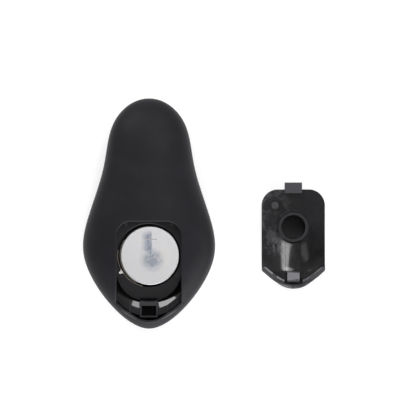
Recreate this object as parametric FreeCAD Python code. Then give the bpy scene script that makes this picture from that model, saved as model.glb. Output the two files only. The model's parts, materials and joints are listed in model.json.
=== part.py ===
import FreeCAD, Part
import math
import os

# Hand-held wireless flash trigger with a pear-shaped moulded body and a coin-cell compartment.
# It lies on its front, back up. +Y runs from the pointed nose to the narrow head, +X is to the
# right seen from above, and +Z is up. The origin is on the resting face, below the axis of the
# cell pocket. The battery door lies beside the body, taken off, with its inner side up.
# All lengths are in millimetres and all angles in degrees.

# ---- coin cell, 20 mm across and 3.2 mm thick ----
CELL_RADIUS = 10.0
CELL_HEIGHT = 3.2
CELL_SHIFT = 0.4           # the side contact pushes the cell this far to the right
CELL_EDGE = 0.2            # rounding of the can's rim
CELL_SKIN = 0.25           # sheet thickness of the can
CELL_STEP = 0.3            # how far the negative cap stands out of the can
GASKET_WIDTH = 1.05        # seal between the can's wall and the negative cap

# ---- battery tray ----
POCKET_CLEARANCE = 0.8     # cell to the pocket's wall
POCKET_WALL = 1.2
POCKET_CHAMFER = 0.3
TRAY_FLOOR = 1.2
TRAY_FOOT = 0.5            # ring under the floor that stands on the board
TRAY_SKIRT = 1.0           # wall round the opening, up to the back shell
TRAY_GAP = 0.06            # between the skirt and the back shell
DECK_THICKNESS = 1.2
DECK_OVER_CELL = 0.5       # deck above the cell's upper face
APRON_START = 7.0          # pocket axis to where the deck begins to slope to the nose
APRON_SLOPE = 22.0
APRON_MARGIN = 0.4         # round edge of the apron outside the pocket
APRON_CENTRE = 4.65        # its centre, from the pocket axis towards the nose
LEDGE_WIDTH = 2.9          # seat for the door along the pointed edge, measured along Y
LEDGE_HEIGHT = 3.9         # of that seat, above the parting plane
LEDGE_RIB = 0.5            # width of the two ribs across the seat
LEDGE_RIB_RISE = 0.3
LEDGE_RIB_X = 6.4
TROUGH_DEPTH = 1.35         # lowest line of the trough, below the ledge
TROUGH_SLOPE = 27.0        # rise of its floor to the ledge, in degrees
STOP_RIB = 0.9             # width of the two door stops at the upper edge
STOP_REACH = 1.6
STOP_INSET = 3.2           # from the opening's sides to the stops' centres
STOP_DROP = 1.4            # top of the stops below the back's inner face at its highest

# ---- door opening, seen from above ----
OPENING_SIDE = 0.2         # pocket's wall to the straight sides
OPENING_HEAD = 0.8         # pocket's wall to the straight upper edge
OPENING_TAIL = 11.35       # pocket's wall to the lowest point of the pointed edge
OPENING_CORNER = 5.0       # radius of the two upper corners
TIP_RADIUS = 9.2           # rounding at the lowest point
TIP_ANGLE = 34.0           # half the turn of that rounding
FLANK_RADIUS = 45.0        # slow curve between the rounding and the straight sides
FLANK_CORNER = 0.7         # rounding where that curve meets the straight sides
RIM_ROUND = 0.4            # rounding of the opening's outer edge

# ---- buttons and indicator on the front ----
POWER_FROM_OPENING = 3.9   # opening's upper edge to the power button's axis
INDICATOR_STEP = 7.5       # power button to the indicator
FIRE_STEP = 11.0           # indicator to the fire button
FIRE_RADIUS = 7.5
POWER_RADIUS = 3.6
INDICATOR_RADIUS = 1.5
PIPE_FLANGE = 0.7
PIPE_GAP = 0.15            # light pipe to the indicator's lens
LED_HEIGHT = 0.85
LED_WIDTH = 2.0
BUTTON_SINK = 0.35         # resting face to the caps' outer faces
BUTTON_GAP = 0.15          # round the caps
FLANGE_WIDTH = 1.0
FLANGE_HEIGHT = 0.8
FLANGE_GAP = 0.03
DISH_MARGIN = 2.2          # shallow dish round each cap
DISH_STEP = 0.5            # depth of the dish at the cap's edge
CAP_HOLLOW = 0.45          # thumb hollow in the fire button
CAP_WALL = 1.3
STEM_RADIUS = 2.0
STEM_HEIGHT = 0.2          # stem above the flange
STEM_GAP = 0.05
GUIDE_WALL = 0.9
GUIDE_HEIGHT = 1.6         # above the front shell's inner face

# ---- body ----
SIDE_MARGIN = 11.6         # opening's straight sides to the hips
NOSE_MARGIN = 3.0          # opening's lowest point to the tip of the nose
HEAD_MARGIN = 19.75        # fire button's axis to the tip of the head
BACK_RISE = 12.0           # parting plane to the top of the back
FRONT_DEPTH = 8.0          # resting face to the parting plane
WALL = 1.8                 # back shell
FRONT_WALL = 2.0           # front shell
SEAM_CHAMFER = 0.25        # bevel on both shells along the parting line
TONGUE_WALL = 0.8          # locating tongue of the front shell
TONGUE_HEIGHT = 1.1
TONGUE_CLEARANCE = 0.08

# Control rows of the body, nose to head: share of the reach, of half the width, of the back's
# rise and of the front's depth. The form is pulled towards these rows and is smooth between.
BODY_ROWS = (
    (-1.00, 0.165, 0.29, 0.36),
    (-0.77, 0.555, 0.83, 0.98),
    (-0.06, 1.075, 1.045, 1.12),
    (0.23, 0.955, 1.01, 1.12),
    (0.57, 0.64, 0.88, 1.12),
    (0.86, 0.63, 0.79, 1.09),
    (1.00, 0.24, 0.34, 0.44),
)
# Control points of one cross-section: share of half the width, share of the height.
BACK_SECTION = ((-1, 0), (-1, 0.54), (-0.66, 0.89), (0, 1.04), (0.66, 0.89), (1, 0.54), (1, 0))
FRONT_SECTION = ((-1, 0), (-1, 0.62), (-0.80, 0.98), (0, 1.0), (0.80, 0.98), (1, 0.62), (1, 0))

# ---- latch ----
SOCKET_WIDTH = 5.0
SOCKET_LENGTH = 3.4
SOCKET_WALL = 0.5
SOCKET_FROM_TIP = 1.5      # opening's lowest point to the socket's hole
SOCKET_RISE = 0.3          # top of the socket above the ledge
SOCKET_PLATE = 0.6         # thickness over the hook
SOCKET_FLOOR = 0.5
LATCH_PLAY_X = 0.4         # socket's sides to the latch
LATCH_LEG = 1.2
LATCH_HOOK = 1.25
LATCH_GUSSET = 1.9         # sloped foot of the leg, on the side of the tip
LATCH_GAP = 0.15           # leg to the socket's edge
LATCH_PLAY = 0.1           # hook below the socket's plate when the door is closed
HOOK_HEIGHT = 1.0

# ---- battery door ----
DOOR_GAP = 0.12            # all round, in the opening
DOOR_CORNER = 5.6          # radius of its two upper corners, without the gap
DOOR_WALL = 1.6
DOOR_EDGE = 0.25           # rounding of the door's outer edge
TUBE_RADIUS = 5.1
TUBE_WALL = 0.95
TUBE_FROM_TOP = 12.7       # opening's upper edge to the tube's axis
TUBE_GAP = 0.1             # to the cell when the door is closed
TUBE_FOOT = 0.7            # fillet where the tube meets the door
TAB_WIDTH = 6.0
TAB_REACH = 2.5            # past the door's upper edge
TAB_ROOT = 1.2             # part of the tab that lies on the door
TAB_THICKNESS = 1.0
TAB_GAP = 0.15
TAB_PLAY = 0.2             # sides of the tab to its slot in the tray
LIP_WIDTH = 2.5            # rib along the door's pointed edge, measured along Y
LIP_GAP = 0.1              # between that rib and its seat
BEAD_WIDTH = 0.7           # raised bead on the rib's inner border
BEAD_HEIGHT = 0.3
BEAD_ROUND = 0.2
BEAD_NOTCH = 1.3           # gap in the bead for each rib of the seat
SPINE_WIDTH = 5.2          # flat strip between the tube and the latch
SPINE_HEIGHT = 0.35
EJECTOR_RADIUS = 1.3       # round ejector marks on the inner side
EJECTOR_HEIGHT = 0.15
EJECTOR_X = 6.2
EJECTOR_PITCH = 11.9
DOOR_PLACE_X = 49.5        # where the door lies, from the body's axis
DOOR_PLACE_Y = 10.7        # and how far it is moved towards the head
DOOR_LEAN = 5.5            # the round door rests on its balance point, nose end down

# ---- contacts ----
CONTACT_SHEET = 0.2
CONTACT_CLEARANCE = 0.12   # between the side contact and the cell
FLAG_ANGLE = 211.0         # where the side contact's flag crosses the pocket's wall
FLAG_WIDTH = 1.4
FLAG_REACH = 1.0
FLAG_TAPER = 0.4           # width at its tip as a share of the width at its root
SPRING_HEIGHT = 1.0        # negative contact, floor to the cell
SPRING_WIDTH = 3.0
SPRING_REACH = 6.5

# ---- board and what is on it ----
BOARD_INSET = 3.0          # body outline to the board's edge
BOARD_THICKNESS = 1.0
SWITCH_SIDE = 6.0
SWITCH_HEIGHT = 3.4
PLUNGER_RADIUS = 1.7
PLUNGER_OUT = 0.9          # plunger out of the switch at rest
BUTTON_TRAVEL = 0.3
BOSS_RADIUS = 2.5
SCREW_RADIUS = 0.85
SCREW_HEAD_RADIUS = 1.7
SCREW_HEAD_HEIGHT = 1.0
SCREW_LENGTH = 4.0
SCREW_FROM_SIDE = 6.4      # hips to the two lower screws
SCREW_FROM_HEAD = 6.7      # tip of the head to the upper screw
COIL_RADIUS = 2.2
COIL_WIRE = 0.35           # radius of the antenna wire
COIL_PITCH = 1.9
COIL_TURNS = 7
COIL_FROM_HEAD = 12.5
COIL_GAP = 0.05            # above the board
CHIP_HEIGHT = 1.1
CHIP_WIDTH = 3.9
LEG_PITCH = 1.27
RADIO_LEGS = 4             # a side
CONTROLLER_LEGS = 7
CONTROLLER_FROM_OPENING = 7.9
CRYSTAL_LENGTH = 3.2
CRYSTAL_WIDTH = 2.5
CAPACITOR_LENGTH = 1.6
CAPACITOR_WIDTH = 0.8
PART_GAP = 1.1             # between parts on the board

# ---- places that follow from the sizes above ----
CELL_CAP_RADIUS = CELL_RADIUS - CELL_SKIN - GASKET_WIDTH
POCKET_RADIUS = CELL_RADIUS + POCKET_CLEARANCE
APRON_RADIUS = POCKET_RADIUS + APRON_MARGIN
OPENING_WIDTH = 2 * (POCKET_RADIUS + OPENING_SIDE)
OPENING_TOP = POCKET_RADIUS + OPENING_HEAD
OPENING_TIP = POCKET_RADIUS + OPENING_TAIL
POWER_Y = OPENING_TOP + POWER_FROM_OPENING
INDICATOR_Y = POWER_Y + INDICATOR_STEP
FIRE_Y = INDICATOR_Y + FIRE_STEP
BODY_WIDTH = OPENING_WIDTH + 2 * SIDE_MARGIN
NOSE_REACH = OPENING_TIP + NOSE_MARGIN
HEAD_REACH = FIRE_Y + HEAD_MARGIN
TUBE_BORE = TUBE_RADIUS - TUBE_WALL
LATCH_WIDTH = SOCKET_WIDTH - 2 * LATCH_PLAY_X
SCREW_X = BODY_WIDTH / 2 - SCREW_FROM_SIDE
BOARD_SCREWS = ((0.0, HEAD_REACH - SCREW_FROM_HEAD), (SCREW_X, 0.0), (-SCREW_X, 0.0))
COIL_Y = HEAD_REACH - COIL_FROM_HEAD
CONTROLLER_Y = OPENING_TOP + CONTROLLER_FROM_OPENING
RADIO_Y = (CONTROLLER_Y + COIL_Y) / 2

# ---- heights that follow from the sizes above ----
PARTING = FRONT_DEPTH
FLANGE_Z = FRONT_WALL + FLANGE_GAP
STEM_Z = FLANGE_Z + FLANGE_HEIGHT + STEM_HEIGHT
PLUNGER_Z = STEM_Z + STEM_GAP
SWITCH_Z = PLUNGER_Z + PLUNGER_OUT
BOARD_Z = SWITCH_Z + SWITCH_HEIGHT
BOARD_TOP = BOARD_Z + BOARD_THICKNESS
TRAY_Z = BOARD_TOP + TRAY_FOOT
POCKET_Z = TRAY_Z + TRAY_FLOOR
CELL_Z = POCKET_Z + SPRING_HEIGHT
CELL_TOP = CELL_Z + CELL_HEIGHT
DECK_Z = CELL_TOP + DECK_OVER_CELL
LEDGE_Z = PARTING + LEDGE_HEIGHT
TROUGH_Z = LEDGE_Z - TROUGH_DEPTH
SOCKET_Z = LEDGE_Z + SOCKET_RISE
SOCKET_LOW = -OPENING_TIP + SOCKET_FROM_TIP
SOCKET_HIGH = SOCKET_LOW + SOCKET_LENGTH
TUBE_Y = OPENING_TOP - TUBE_FROM_TOP
SKY = PARTING + 2 * BACK_RISE    # clear above everything
Z_AXIS = FreeCAD.Vector(0, 0, 1)
OUT = "parts"


def vec(x, y, z):
    return FreeCAD.Vector(x, y, z)


def cylinder(radius, x, y, low, high):
    return Part.makeCylinder(radius, high - low, vec(x, y, low))


def block(x, y, z):
    """Box between (low, high) pairs along the three axes."""
    return Part.makeBox(x[1] - x[0], y[1] - y[0], z[1] - z[0], vec(x[0], y[0], z[0]))


def fuse(first, *others):
    return first.fuse(list(others)).removeSplitter()


def extrude_profile(points, x_low, x_high):
    """Prism along X of a closed profile given as (y, z) points."""
    corners = [vec(x_low, y, z) for y, z in points]
    face = Part.Face(Part.makePolygon(corners + corners[:1]))
    return face.extrude(vec(x_high - x_low, 0, 0))


# ---- the body's form ----

def uniform_knots(count):
    """Knots and multiplicities of a clamped uniform cubic with that many control points."""
    spans = count - 3
    return [i / spans for i in range(spans + 1)], [4] + [1] * (spans - 1) + [4]


def plan_rows(inset):
    """Control rows (y, half width) of the body's outline, moved inwards by inset."""
    half = BODY_WIDTH / 2
    rows = [(-NOSE_REACH, 0.0)]
    for reach, width, _, _ in BODY_ROWS:
        rows.append((reach * (NOSE_REACH if reach < 0 else HEAD_REACH), width * half))
    rows.append((HEAD_REACH, 0.0))
    moved = []
    for before, row, after in zip(rows, rows[1:], rows[2:]):
        along = FreeCAD.Vector(after[1] - before[1], after[0] - before[0], 0).normalize()
        moved.append((row[0] + inset * along.x, row[1] - inset * along.y))
    nose = -NOSE_REACH + inset
    head = HEAD_REACH - inset
    moved[0] = (nose, moved[0][1])
    moved[-1] = (head, moved[-1][1])
    return [(nose, 0.0)] + moved + [(head, 0.0)]


def dome(heights, section, inset, upwards):
    """Half body on the parting plane, with wall thickness inset taken off all round."""
    rows = plan_rows(inset)
    rises = [0.0] + [max(h - inset, 0.3) for h in heights] + [0.0]
    sign = 1 if upwards else -1
    net = [
        [vec(across * w, y, PARTING + sign * up * h) for (y, w), h in zip(rows, rises)]
        for across, up in section
    ]
    across_knots, across_mults = uniform_knots(len(section))
    along_knots, along_mults = uniform_knots(len(rows))
    surface = Part.BSplineSurface()
    surface.buildFromPolesMultsKnots(
        net, across_mults, along_mults, across_knots, along_knots, False, False, 3, 3
    )
    skin = surface.toShape()
    rim = [edge for edge in skin.Edges if not edge.Degenerated]
    floor = Part.Face(Part.Wire(Part.__sortEdges__(rim)))
    shell = Part.Shell([skin, floor])
    shell.sewShape()
    solid = Part.Solid(shell)
    return solid if solid.Volume > 0 else solid.reversed()


def back_dome(inset):
    return dome([row[2] * BACK_RISE for row in BODY_ROWS], BACK_SECTION, inset, True)


def front_dome(inset):
    return dome([row[3] * FRONT_DEPTH for row in BODY_ROWS], FRONT_SECTION, inset, False)


def outline_prism(inset, low, high):
    """Upright prism of the body's outline, moved inwards by inset."""
    rows = plan_rows(inset)
    knots, mults = uniform_knots(len(rows))
    edges = []
    for side in (1, -1):
        curve = Part.BSplineCurve()
        poles = [vec(side * w, y, low) for y, w in rows]
        curve.buildFromPolesMultsKnots(poles, mults, knots, False, 3)
        edges.append(curve.toShape())
    face = Part.Face(Part.Wire(Part.__sortEdges__(edges)))
    return face.extrude(vec(0, 0, high - low))


# ---- the door opening's outline ----

def opening_wire(inset, z, upper_corner=OPENING_CORNER):
    """Closed outline of the door opening, moved inwards by inset, at height z."""
    half = OPENING_WIDTH / 2 - inset
    top = OPENING_TOP - inset
    corner = upper_corner - inset
    turn = math.radians(TIP_ANGLE)
    tip_y = TIP_RADIUS - OPENING_TIP
    flank_x = -(FLANK_RADIUS - TIP_RADIUS) * math.sin(turn)
    flank_y = tip_y + (FLANK_RADIUS - TIP_RADIUS) * math.cos(turn)
    tip_radius = TIP_RADIUS - inset
    flank_radius = FLANK_RADIUS - inset
    end = math.asin((half - flank_x) / flank_radius)
    middle = (turn + end) / 2

    def flank(angle):
        return flank_x + flank_radius * math.sin(angle), flank_y - flank_radius * math.cos(angle)

    def tip(angle):
        return tip_radius * math.sin(angle), tip_y - tip_radius * math.cos(angle)

    def point(pair, side=1):
        return vec(side * pair[0], pair[1], z)

    cut = corner * (1 - math.sqrt(0.5))
    edges = [Part.Arc(point(tip(turn), -1), point(tip(0)), point(tip(turn))).toShape()]
    for side in (1, -1):
        low = point(flank(end), side)
        high = vec(side * half, top - corner, z)
        inner = vec(side * (half - corner), top, z)
        round_mid = vec(side * (half - cut), top - cut, z)
        edges.append(Part.Arc(point(tip(turn), side), point(flank(middle), side), low).toShape())
        edges.append(Part.LineSegment(low, high).toShape())
        edges.append(Part.Arc(high, round_mid, inner).toShape())
    edges.append(Part.LineSegment(vec(half - corner, top, z), vec(corner - half, top, z)).toShape())
    return Part.Wire(Part.__sortEdges__(edges))


def opening_prism(inset, low, high, upper_corner=OPENING_CORNER):
    wire = opening_wire(inset, low, upper_corner)
    prism = Part.Face(wire).extrude(vec(0, 0, high - low))
    half = OPENING_WIDTH / 2 - inset
    corners = [
        e for e in prism.Edges
        if e.BoundBox.ZLength > 0.9 * (high - low)
        and e.BoundBox.YMax < 0 and abs(e.BoundBox.Center.x) > half - 0.01
    ]
    return prism.makeFillet(FLANK_CORNER - inset, corners)


def flank_start():
    """Y of the point where the opening's straight side meets its pointed edge."""
    return min(v.Y for v in opening_wire(0, 0).Vertexes if abs(v.X) > 0.49 * OPENING_WIDTH)


# ---- shells ----

def rim_edges(shape, skin, wall):
    """Edges of shape that lie on both the skin and the wall."""
    found = []
    for edge in shape.Edges:
        if edge.Degenerated:
            continue
        ends = [edge.valueAt(edge.FirstParameter), edge.valueAt(edge.LastParameter)]
        middle = edge.valueAt((edge.FirstParameter + edge.LastParameter) / 2)
        probes = [Part.Vertex(p) for p in ends + [middle]]
        if all(skin.distToShape(p)[0] < 0.002 and wall.distToShape(p)[0] < 0.002 for p in probes):
            found.append(edge)
    return found


def seam_edges(shape):
    """Outer edges of a shell that lie in the parting plane."""
    half = BODY_WIDTH / 2
    return [
        edge
        for edge in shape.Edges
        if abs(edge.BoundBox.ZMin - PARTING) < 1e-4
        and abs(edge.BoundBox.ZMax - PARTING) < 1e-4
        and edge.BoundBox.YLength > NOSE_REACH + HEAD_REACH - 0.01
        and max(abs(edge.BoundBox.XMin), abs(edge.BoundBox.XMax)) > half - 0.5
    ]


def back_shell():
    outer = back_dome(0)
    shell = outer.cut(back_dome(WALL))
    tongue_room = TONGUE_HEIGHT + TONGUE_CLEARANCE
    rebate = outline_prism(WALL - TONGUE_WALL - TONGUE_CLEARANCE, PARTING - 1, PARTING + tongue_room)
    shell = shell.cut(rebate)
    shell = shell.makeChamfer(SEAM_CHAMFER, seam_edges(shell))
    hole = opening_prism(0, PARTING + 0.5, SKY)
    shell = shell.cut(hole)
    wall = opening_prism(0, PARTING, SKY).Shells[0]
    return shell.makeFillet(RIM_ROUND, rim_edges(shell, outer.Shells[0], wall))


def front_shell():
    room = (-BODY_WIDTH, BODY_WIDTH)
    length = (-2 * NOSE_REACH, 2 * HEAD_REACH)
    shell = front_dome(0).common(block(room, length, (0, PARTING)))
    shell = shell.makeChamfer(SEAM_CHAMFER, seam_edges(shell))
    shell = shell.cut(front_dome(FRONT_WALL).common(block(room, length, (FRONT_WALL, PARTING))))
    tongue = outline_prism(WALL - TONGUE_WALL, PARTING - SEAM_CHAMFER, PARTING + TONGUE_HEIGHT)
    tongue = tongue.cut(outline_prism(WALL, PARTING - SEAM_CHAMFER, PARTING + TONGUE_HEIGHT))
    bosses = [board_boss(x, y) for x, y in BOARD_SCREWS]
    guides = [button_guide(y, r) for y, r in ((FIRE_Y, FIRE_RADIUS), (POWER_Y, POWER_RADIUS))]
    shell = fuse(shell, tongue, *bosses, *guides)
    for y, radius in ((FIRE_Y, FIRE_RADIUS), (POWER_Y, POWER_RADIUS)):
        bore = radius + FLANGE_WIDTH + BUTTON_GAP
        shell = shell.cut(button_dish(y, radius))
        shell = shell.cut(cylinder(radius + BUTTON_GAP, 0, y, -1, FRONT_WALL + 1))
        shell = shell.cut(cylinder(bore, 0, y, FRONT_WALL, BOARD_Z))
    for x, y in BOARD_SCREWS:
        low = BOARD_TOP - SCREW_LENGTH - 0.5
        shell = shell.cut(cylinder(SCREW_RADIUS + 0.02, x, y, low, BOARD_TOP))
    pipe = INDICATOR_RADIUS + PIPE_FLANGE + 0.1
    shell = shell.cut(cylinder(pipe, 0, INDICATOR_Y, FRONT_WALL, BOARD_Z))
    return shell.cut(cylinder(INDICATOR_RADIUS + 0.05, 0, INDICATOR_Y, -1, FRONT_WALL + 1))


def board_boss(x, y):
    return cylinder(BOSS_RADIUS, x, y, 0, BOARD_Z).common(front_dome(FRONT_WALL / 2))


def button_guide(y, radius):
    """Ring inside the front that guides a button's flange."""
    bore = radius + FLANGE_WIDTH + BUTTON_GAP
    low = FRONT_WALL - 0.5
    high = FRONT_WALL + GUIDE_HEIGHT
    ring = cylinder(bore + GUIDE_WALL, 0, y, low, high).cut(cylinder(bore, 0, y, low, high))
    return ring.common(front_dome(FRONT_WALL / 2))


def button_dish(y, radius):
    """Shallow spherical dish in the front, round a button."""
    rim = radius + DISH_MARGIN
    hole = radius + BUTTON_GAP
    centre = (DISH_STEP ** 2 - (rim ** 2 - hole ** 2)) / (2 * DISH_STEP)
    return Part.makeSphere(math.hypot(rim, centre), vec(0, y, centre))


# ---- battery tray ----

def apron_disc(grow, low, high):
    return cylinder(APRON_RADIUS + grow, 0, -APRON_CENTRE, low, high)


def below_apron_centre(low, high):
    return block((-BODY_WIDTH, BODY_WIDTH), (-2 * NOSE_REACH, -APRON_CENTRE), (low, high))


def apron_slope(lift):
    """Space over the sloping apron, its floor lifted by lift."""
    y_end = -OPENING_TIP
    fall = (OPENING_TIP - APRON_START) * math.tan(math.radians(APRON_SLOPE))
    deck = DECK_Z + lift
    points = ((-APRON_START, deck), (-APRON_START, SKY), (y_end, SKY), (y_end, deck - fall))
    wedge = extrude_profile(points, -BODY_WIDTH, BODY_WIDTH)
    return wedge.common(apron_disc(0, TRAY_Z, SKY))


def trough_space():
    """Space over the concave trough between the apron and the ledge."""
    near = APRON_RADIUS - 1
    foot = APRON_RADIUS
    top = LEDGE_Z - 0.05
    reach = (top - TROUGH_Z) / math.tan(math.radians(TROUGH_SLOPE))
    far = foot + reach
    edge = far + OPENING_TIP
    bend = Part.Arc(
        vec(foot, 0, TROUGH_Z),
        vec(foot + 0.5 * reach, 0, TROUGH_Z + 0.46 * (top - TROUGH_Z)),
        vec(far, 0, top),
    ).toShape()
    corners = [(far, top), (edge, top), (edge, SKY), (near, SKY), (near, TROUGH_Z), (foot, TROUGH_Z)]
    lines = [
        Part.LineSegment(vec(a[0], 0, a[1]), vec(b[0], 0, b[1])).toShape()
        for a, b in zip(corners, corners[1:])
    ]
    face = Part.Face(Part.Wire(Part.__sortEdges__([bend] + lines)))
    bowl = face.revolve(vec(0, 0, 0), Z_AXIS, 360)
    bowl.translate(vec(0, -APRON_CENTRE, 0))
    raised = opening_prism(0, TRAY_Z, SKY)
    raised.translate(vec(0, LEDGE_WIDTH, 0))
    return bowl.common(raised).common(opening_prism(0, TRAY_Z, SKY)).cut(apron_disc(0, TRAY_Z, SKY))


def tray_top_space():
    """Everything above the tray's upper surface, inside the opening."""
    deck = opening_prism(0, DECK_Z, SKY)
    apron = apron_slope(0).common(opening_prism(0, TRAY_Z, SKY))
    lower = below_apron_centre(TRAY_Z, SKY).cut(apron_disc(0, TRAY_Z, SKY))
    ledge = opening_prism(0, LEDGE_Z, SKY).common(lower)
    trough = trough_space().common(lower)
    pocket = cylinder(POCKET_RADIUS, 0, 0, POCKET_Z, SKY)
    bevel = Part.makeCone(
        POCKET_RADIUS, POCKET_RADIUS + 1, 1, vec(0, 0, DECK_Z - POCKET_CHAMFER)
    )
    return deck.fuse([apron, ledge, trough, pocket, bevel])


def tray_hollows():
    """Hollows under the deck's two upper corners."""
    high = DECK_Z - DECK_THICKNESS
    room = opening_prism(0, TRAY_Z - 1, high).cut(
        cylinder(POCKET_RADIUS + POCKET_WALL, 0, 0, TRAY_Z - 1, high)
    )
    return room.common(block((-BODY_WIDTH, BODY_WIDTH), (0, BODY_WIDTH), (TRAY_Z - 1, high)))


def ledge_ribs():
    """Two ribs across the ledge, one on each side of the latch socket."""
    seat = opening_prism(TRAY_GAP, TRAY_Z, LEDGE_Z + LEDGE_RIB_RISE)
    raised = opening_prism(0, TRAY_Z - 1, SKY)
    raised.translate(vec(0, LEDGE_WIDTH, 0))
    band = seat.cut(raised).common(below_apron_centre(TRAY_Z, SKY))
    return [
        band.common(block(
            (x - LEDGE_RIB / 2, x + LEDGE_RIB / 2), (-2 * NOSE_REACH, 0), (TRAY_Z, SKY)
        ))
        for x in (-LEDGE_RIB_X, LEDGE_RIB_X)
    ]


def latch_socket():
    half = SOCKET_WIDTH / 2 + SOCKET_WALL
    low = SOCKET_LOW - SOCKET_WALL
    high = -APRON_CENTRE - APRON_RADIUS + 0.4
    return block((-half, half), (low, high), (TRAY_Z, SOCKET_Z)).common(opening_prism(0, 0, SKY))


def socket_space():
    half = SOCKET_WIDTH / 2
    floor = TRAY_Z + SOCKET_FLOOR
    shaft = block((-half, half), (SOCKET_LOW, SOCKET_HIGH), (floor, SKY))
    catch = block(
        (-half, half),
        (SOCKET_LOW, SOCKET_HIGH + LATCH_HOOK + 0.1),
        (floor, SOCKET_Z - SOCKET_PLATE),
    )
    return shaft.fuse(catch)


def battery_tray():
    tray = opening_prism(-TRAY_SKIRT, TRAY_Z, SKY).common(back_dome(WALL + TRAY_GAP))
    tray = tray.cut(tray_top_space()).cut(tray_hollows())
    foot = cylinder(POCKET_RADIUS + POCKET_WALL, 0, 0, BOARD_TOP, TRAY_Z + 0.2).cut(
        cylinder(POCKET_RADIUS, 0, 0, BOARD_TOP, TRAY_Z + 0.2)
    )
    half_spacing = OPENING_WIDTH / 2 - STOP_INSET
    stop_top = PARTING + BACK_RISE - WALL - STOP_DROP
    stops = [
        block(
            (x - STOP_RIB / 2, x + STOP_RIB / 2),
            (OPENING_TOP - STOP_REACH, OPENING_TOP + TRAY_SKIRT / 2),
            (DECK_Z - 0.2, stop_top),
        )
        for x in (-half_spacing, half_spacing)
    ]
    tray = fuse(tray, foot, latch_socket(), *stops, *ledge_ribs())
    slot_half = TAB_WIDTH / 2 + TAB_PLAY
    slot_z = PARTING + BACK_RISE - WALL - TAB_GAP - TAB_THICKNESS - 0.8
    slot = block(
        (-slot_half, slot_half),
        (OPENING_TOP - 0.1, OPENING_TOP + 2 * TRAY_SKIRT),
        (slot_z, SKY),
    )
    tray = tray.cut(slot).cut(socket_space()).cut(flag_notch())
    return tray.removeSplitter()


# ---- battery door ----

def door_tab():
    half = TAB_WIDTH / 2
    edge = OPENING_TOP - DOOR_GAP
    tongue_inset = WALL + TAB_GAP
    under = back_dome(tongue_inset + TAB_THICKNESS)
    tongue = back_dome(tongue_inset).cut(under).common(
        block((-half, half), (edge - TAB_ROOT, edge + TAB_REACH), (PARTING + 1, SKY))
    )
    root = back_dome(DOOR_WALL - 0.2).cut(under).common(
        block((-half, half), (edge - TAB_ROOT, edge), (PARTING + 1, SKY))
    )
    return tongue.fuse(root)


def door_lip():
    """Rib along the door's pointed edge, with a dashed bead on its inner border."""
    base = LEDGE_Z + LEDGE_RIB_RISE + LIP_GAP
    rib = lip_band(0, LIP_WIDTH, base, SKY).common(back_dome(DOOR_WALL - 0.2))
    low = base - BEAD_HEIGHT
    bead = lip_band(LIP_WIDTH - BEAD_WIDTH, LIP_WIDTH, low, base + 0.1)
    for x in (-LEDGE_RIB_X, LEDGE_RIB_X):
        bead = bead.cut(block(
            (x - BEAD_NOTCH / 2, x + BEAD_NOTCH / 2), (-2 * NOSE_REACH, 0), (low - 1, SKY)
        ))
    dashes = []
    for dash in bead.Solids:
        edges = [e for e in dash.Edges if abs(e.BoundBox.ZMax - low) < 0.01]
        dashes.append(dash.makeFillet(BEAD_ROUND, edges))
    return fuse(rib, *dashes)


def lip_band(near, far, low, high):
    """Band along the door's pointed edge, between two distances from it along Y, on both sides of
    the latch."""
    outer = opening_prism(DOOR_GAP, low, high)
    outer.translate(vec(0, near, 0))
    inner = opening_prism(DOOR_GAP, low - 1, high + 1)
    inner.translate(vec(0, far, 0))
    start = flank_start() + LIP_WIDTH / 2
    band = outer.cut(inner).common(opening_prism(DOOR_GAP, low, high)).common(
        block((-BODY_WIDTH, BODY_WIDTH), (-2 * NOSE_REACH, start), (low, high))
    )
    half = LATCH_WIDTH / 2 + 2 * SOCKET_WALL
    return band.cut(block((-half, half), (-2 * NOSE_REACH, 0), (low - 1, high + 1)))


def door_latch():
    half = LATCH_WIDTH / 2
    leg_high = SOCKET_HIGH - LATCH_GAP
    leg_low = leg_high - LATCH_LEG
    hook_top = SOCKET_Z - SOCKET_PLATE - LATCH_PLAY
    hook_low = hook_top - HOOK_HEIGHT
    nose = leg_high + LATCH_HOOK
    points = (
        (leg_low, hook_low),
        (nose - 0.3, hook_low),
        (nose, hook_low + 0.4),
        (nose, hook_top),
        (leg_high, hook_top),
        (leg_high, SKY),
        (leg_low - LATCH_GUSSET, SKY),
        (leg_low - LATCH_GUSSET + 0.6, SOCKET_Z + 0.2),
        (leg_low, SOCKET_Z - 0.3),
    )
    return extrude_profile(points, -half, half).common(back_dome(DOOR_WALL - 0.2))


def tube_wall():
    return cylinder(TUBE_RADIUS, 0, TUBE_Y, PARTING, SKY).Shells[0]


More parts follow.
